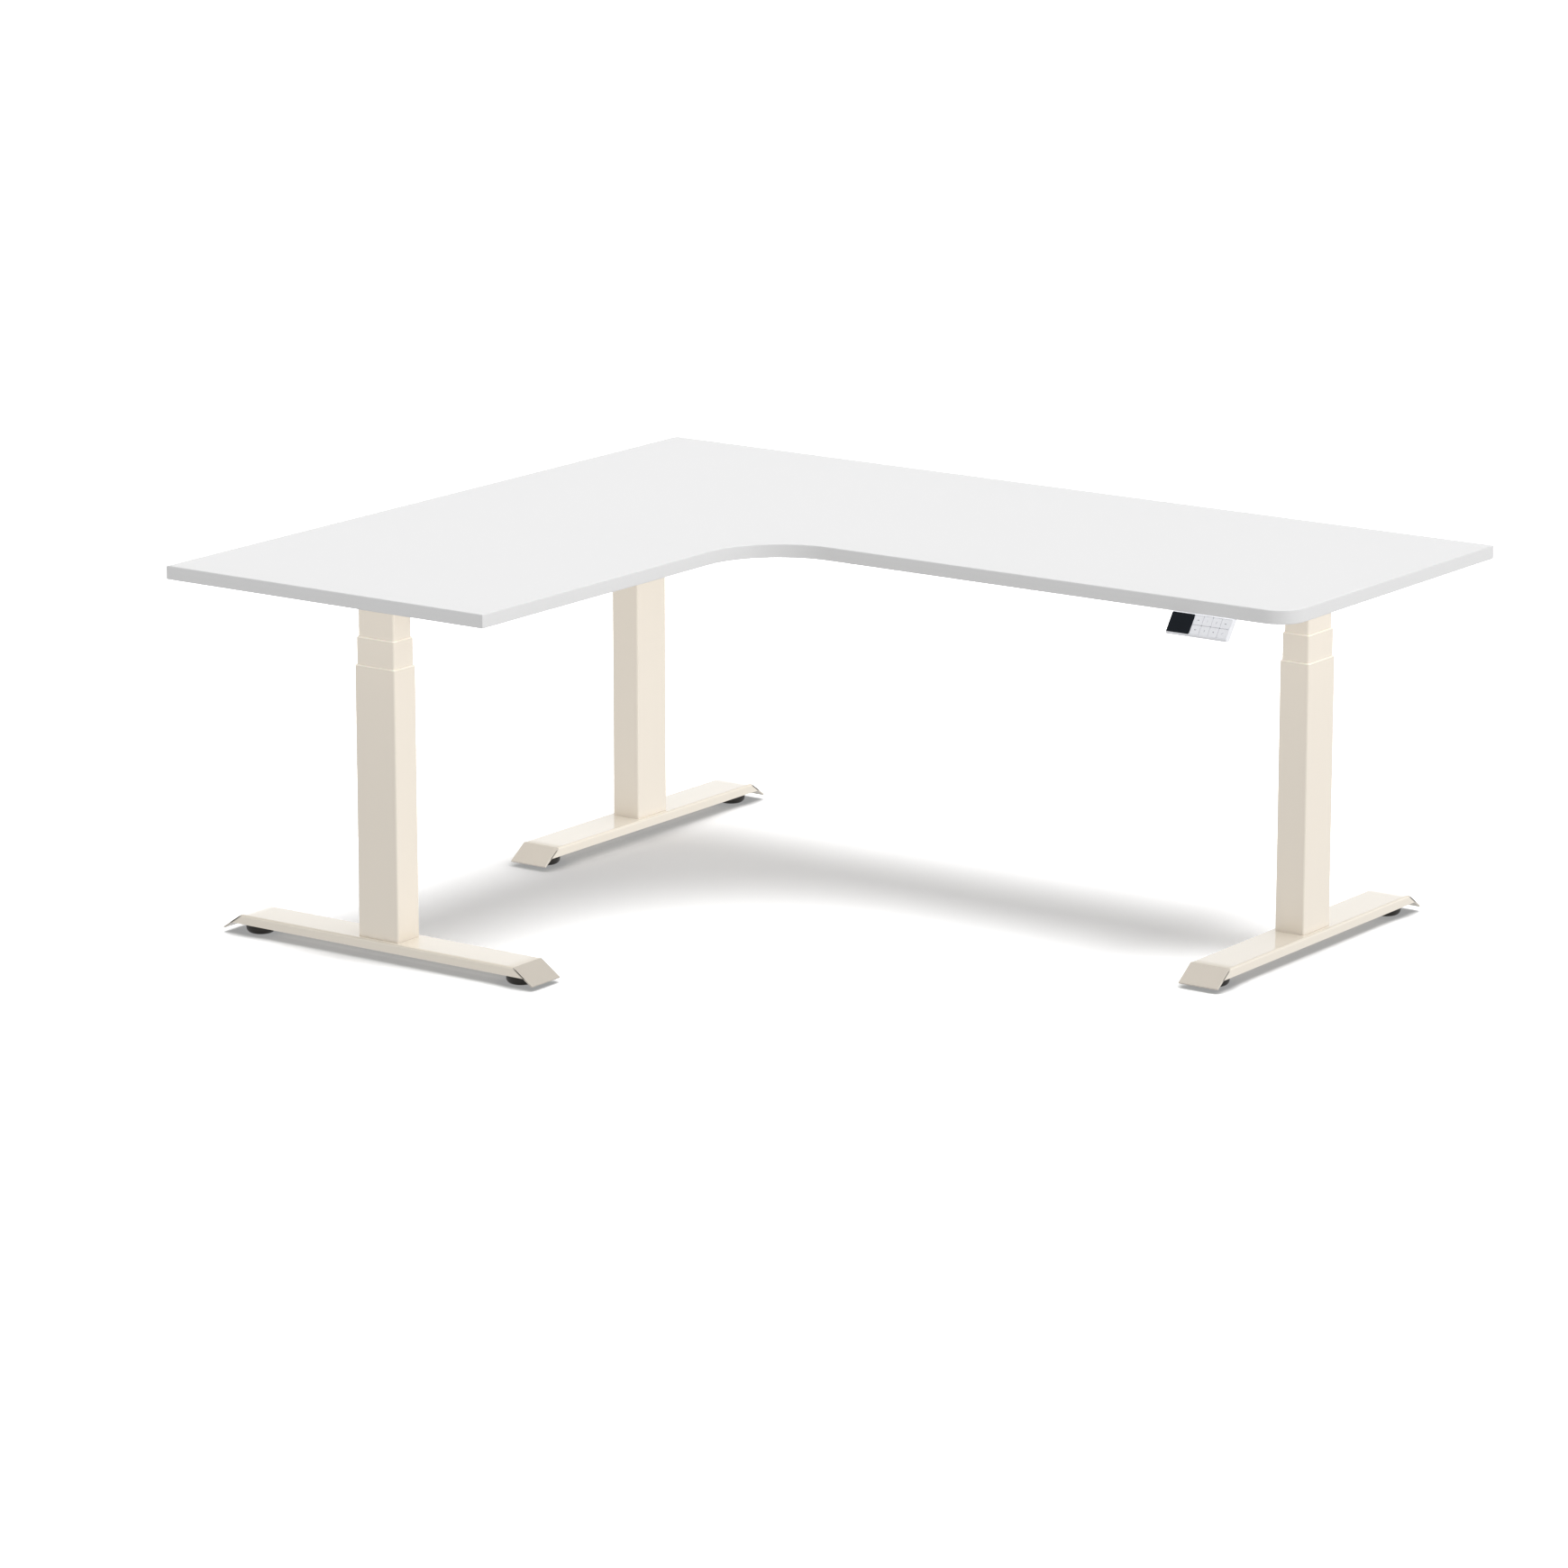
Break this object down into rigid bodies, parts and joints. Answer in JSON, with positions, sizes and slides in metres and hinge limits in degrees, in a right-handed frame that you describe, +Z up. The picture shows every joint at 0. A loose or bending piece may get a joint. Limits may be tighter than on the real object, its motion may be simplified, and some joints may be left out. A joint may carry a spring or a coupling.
{
  "type": "height adjustable corner desk",
  "caption": "L-shaped corner desk on three telescopic motor legs with flat sheet feet, levelling pads and a handset with keys under the front edge.",
  "frame": {"origin": "on the floor, under the middle of the desktop's bounding rectangle", "axes": "+X along the long wing away from the corner leg, +Y to the back edge of the long wing, +Z up"},
  "size_m": [1.8, 1.5, 0.69],
  "materials": {
    "powder_coat": "gloss",
    "board_laminate": "satin",
    "glide_nylon": "satin",
    "nut_acetal": "satin",
    "bare_steel": "satin",
    "zinc_screws": "satin",
    "pad_rubber": "matte",
    "motor_steel": "satin",
    "box_plastic": "matte",
    "lead_jacket": "satin",
    "circuit_board": "gloss",
    "handset_plastic": "satin",
    "display_glass": "gloss"
  },
  "bodies": {
    "base": {"corner_foot": "powder_coat", "right_foot": "powder_coat", "return_foot": "powder_coat", "corner_outer_tube": "powder_coat", "right_outer_tube": "powder_coat", "return_outer_tube": "powder_coat", "outer_glides": "glide_nylon", "lower_nut_tubes": "bare_steel", "foot_fasteners": "zinc_screws"},
    "corner_middle_stage": {"corner_middle_tube": "powder_coat", "corner_middle_glide": "glide_nylon", "corner_nut_tube": "nut_acetal"},
    "right_middle_stage": {"right_middle_tube": "powder_coat", "right_middle_glide": "glide_nylon", "right_nut_tube": "nut_acetal"},
    "return_middle_stage": {"return_middle_tube": "powder_coat", "return_middle_glide": "glide_nylon", "return_nut_tube": "nut_acetal"},
    "top": {"corner_inner_tube": "powder_coat", "right_inner_tube": "powder_coat", "return_inner_tube": "powder_coat", "motors": "motor_steel", "corner_head": "powder_coat", "right_head": "powder_coat", "return_head": "powder_coat", "main_beam": "powder_coat", "return_beam": "powder_coat", "main_board": "board_laminate", "return_board": "board_laminate", "joining_plates": "bare_steel", "frame_fasteners": "zinc_screws", "control_box_plate": "box_plastic", "control_box_cover": "box_plastic", "circuit_boards": "circuit_board", "mains_inlet": "box_plastic", "control_leads": "lead_jacket", "lead_clips": "box_plastic", "handset_case": "handset_plastic", "display_window": "display_glass"},
    "corner_hollow_screw": {"corner_hollow_screw": "bare_steel"},
    "corner_drive_screw": {"corner_drive_screw": "bare_steel"},
    "right_hollow_screw": {"right_hollow_screw": "bare_steel"},
    "right_drive_screw": {"right_drive_screw": "bare_steel"},
    "return_hollow_screw": {"return_hollow_screw": "bare_steel"},
    "return_drive_screw": {"return_drive_screw": "bare_steel"},
    "corner_front_leveller": {"corner_front_leveller": "pad_rubber"},
    "corner_back_leveller": {"corner_back_leveller": "pad_rubber"},
    "right_front_leveller": {"right_front_leveller": "pad_rubber"},
    "right_back_leveller": {"right_back_leveller": "pad_rubber"},
    "return_left_leveller": {"return_left_leveller": "pad_rubber"},
    "return_right_leveller": {"return_right_leveller": "pad_rubber"},
    "key_1": {"key_1": "handset_plastic"},
    "key_2": {"key_2": "handset_plastic"},
    "key_3": {"key_3": "handset_plastic"},
    "key_4": {"key_4": "handset_plastic"},
    "key_5": {"key_5": "handset_plastic"},
    "key_6": {"key_6": "handset_plastic"},
    "key_7": {"key_7": "handset_plastic"},
    "key_8": {"key_8": "handset_plastic"}
  },
  "joints": [
    {"name": "desk_lift", "type": "slide", "parent": "base", "child": "top", "axis": [0, 0, 1], "range_m": [-0.065, 0.585]},
    {"name": "corner_stage", "type": "slide", "parent": "base", "child": "corner_middle_stage", "axis": [0, 0, 1], "range_m": [-0.0325, 0.2925]},
    {"name": "right_stage", "type": "slide", "parent": "base", "child": "right_middle_stage", "axis": [0, 0, 1], "range_m": [-0.0325, 0.2925]},
    {"name": "return_stage", "type": "slide", "parent": "base", "child": "return_middle_stage", "axis": [0, 0, 1], "range_m": [-0.0325, 0.2925]},
    {"name": "corner_hollow_turn", "type": "hinge", "parent": "corner_middle_stage", "child": "corner_hollow_screw", "pos_m": [-0.73, 0.4, 0.3], "axis": [0, 0, 1], "range_deg": [-1171, 10531]},
    {"name": "corner_drive_turn", "type": "hinge", "parent": "top", "child": "corner_drive_screw", "pos_m": [-0.73, 0.4, 0.3], "axis": [0, 0, 1], "range_deg": [-1171, 10531]},
    {"name": "right_hollow_turn", "type": "hinge", "parent": "right_middle_stage", "child": "right_hollow_screw", "pos_m": [0.73, 0.4, 0.3], "axis": [0, 0, 1], "range_deg": [-1171, 10531]},
    {"name": "right_drive_turn", "type": "hinge", "parent": "top", "child": "right_drive_screw", "pos_m": [0.73, 0.4, 0.3], "axis": [0, 0, 1], "range_deg": [-1171, 10531]},
    {"name": "return_hollow_turn", "type": "hinge", "parent": "return_middle_stage", "child": "return_hollow_screw", "pos_m": [-0.55, -0.58, 0.3], "axis": [0, 0, 1], "range_deg": [-1171, 10531]},
    {"name": "return_drive_turn", "type": "hinge", "parent": "top", "child": "return_drive_screw", "pos_m": [-0.55, -0.58, 0.3], "axis": [0, 0, 1], "range_deg": [-1171, 10531]},
    {"name": "corner_front_level", "type": "slide", "parent": "base", "child": "corner_front_leveller", "axis": [0, 0, -1], "range_m": [0, 0.01]},
    {"name": "corner_back_level", "type": "slide", "parent": "base", "child": "corner_back_leveller", "axis": [0, 0, -1], "range_m": [0, 0.01]},
    {"name": "right_front_level", "type": "slide", "parent": "base", "child": "right_front_leveller", "axis": [0, 0, -1], "range_m": [0, 0.01]},
    {"name": "right_back_level", "type": "slide", "parent": "base", "child": "right_back_leveller", "axis": [0, 0, -1], "range_m": [0, 0.01]},
    {"name": "return_left_level", "type": "slide", "parent": "base", "child": "return_left_leveller", "axis": [0, 0, -1], "range_m": [0, 0.01]},
    {"name": "return_right_level", "type": "slide", "parent": "base", "child": "return_right_leveller", "axis": [0, 0, -1], "range_m": [0, 0.01]},
    {"name": "key_1_press", "type": "slide", "parent": "top", "child": "key_1", "axis": [0, 0.8126, -0.5828], "range_m": [0, 0.0006], "stiffness_N_per_m": 1000, "springref_m": -0.001},
    {"name": "key_2_press", "type": "slide", "parent": "top", "child": "key_2", "axis": [0, 0.8126, -0.5828], "range_m": [0, 0.0006], "stiffness_N_per_m": 1000, "springref_m": -0.001},
    {"name": "key_3_press", "type": "slide", "parent": "top", "child": "key_3", "axis": [0, 0.8126, -0.5828], "range_m": [0, 0.0006], "stiffness_N_per_m": 1000, "springref_m": -0.001},
    {"name": "key_4_press", "type": "slide", "parent": "top", "child": "key_4", "axis": [0, 0.8126, -0.5828], "range_m": [0, 0.0006], "stiffness_N_per_m": 1000, "springref_m": -0.001},
    {"name": "key_5_press", "type": "slide", "parent": "top", "child": "key_5", "axis": [0, 0.8126, -0.5828], "range_m": [0, 0.0006], "stiffness_N_per_m": 1000, "springref_m": -0.001},
    {"name": "key_6_press", "type": "slide", "parent": "top", "child": "key_6", "axis": [0, 0.8126, -0.5828], "range_m": [0, 0.0006], "stiffness_N_per_m": 1000, "springref_m": -0.001},
    {"name": "key_7_press", "type": "slide", "parent": "top", "child": "key_7", "axis": [0, 0.8126, -0.5828], "range_m": [0, 0.0006], "stiffness_N_per_m": 1000, "springref_m": -0.001},
    {"name": "key_8_press", "type": "slide", "parent": "top", "child": "key_8", "axis": [0, 0.8126, -0.5828], "range_m": [0, 0.0006], "stiffness_N_per_m": 1000, "springref_m": -0.001}
  ],
  "couplings": [
    {"joint": "corner_stage", "follows": "desk_lift", "ratio": 0.5},
    {"joint": "right_stage", "follows": "desk_lift", "ratio": 0.5},
    {"joint": "return_stage", "follows": "desk_lift", "ratio": 0.5},
    {"joint": "corner_hollow_turn", "follows": "desk_lift", "rad_per_m": 314.16},
    {"joint": "corner_drive_turn", "follows": "desk_lift", "rad_per_m": 314.16},
    {"joint": "right_hollow_turn", "follows": "desk_lift", "rad_per_m": 314.16},
    {"joint": "right_drive_turn", "follows": "desk_lift", "rad_per_m": 314.16},
    {"joint": "return_hollow_turn", "follows": "desk_lift", "rad_per_m": 314.16},
    {"joint": "return_drive_turn", "follows": "desk_lift", "rad_per_m": 314.16}
  ]
}
